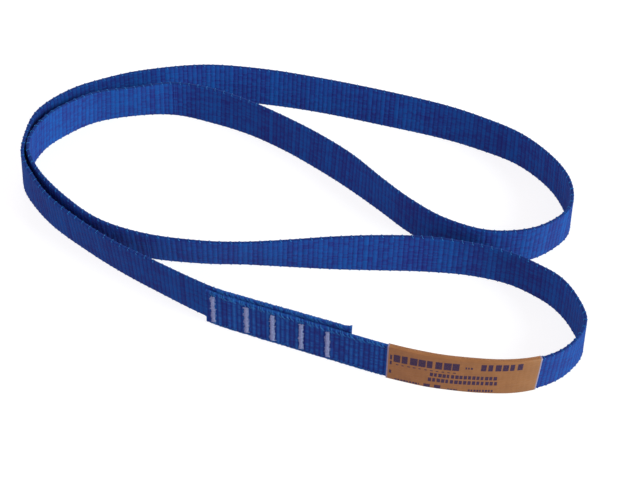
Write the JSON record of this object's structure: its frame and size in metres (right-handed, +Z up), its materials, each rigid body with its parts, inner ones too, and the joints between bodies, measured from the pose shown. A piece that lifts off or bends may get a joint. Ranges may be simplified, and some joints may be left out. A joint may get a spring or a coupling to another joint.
{
  "type": "flat web sling",
  "caption": "Endless flat webbing sling with a bar-tacked lapped splice and a wrapped label, standing on edge and bent double into two open eyes.",
  "frame": {"origin": "centre of the footprint, on the surface that the sling stands on", "axes": "+X from the bend towards the two eyes, +Z up along the width of the webbing, +Y from the labelled strand towards the far strand"},
  "size_m": [0.3228, 0.2379, 0.0289],
  "materials": {
    "webbing": "woven",
    "thread": "matte",
    "label": "satin",
    "label_seam": "satin"
  },
  "bodies": {
    "lower_arm": {"splice_front_layer": "webbing", "label_run": "webbing", "lower_eye": "webbing", "middle_run": "webbing", "inner_bend_lower": "webbing", "outer_bend_lower": "webbing", "near_run": "webbing", "splice_back_layer": "webbing", "bar_tack_1": "thread", "bar_tack_2": "thread", "bar_tack_3": "thread", "bar_tack_4": "thread", "bar_tack_5": "thread", "label": "label", "label_seam": "label_seam"},
    "upper_arm": {"inner_bend_upper": "webbing", "inner_upper_run": "webbing", "upper_eye": "webbing", "far_run": "webbing", "outer_bend_upper": "webbing"}
  },
  "joints": [
    {"name": "bend_fold", "type": "hinge", "parent": "lower_arm", "child": "upper_arm", "pos_m": [-0.1612, 0.043, 0.013], "axis": [0, 0, 1], "range_deg": [0, 60]}
  ]
}
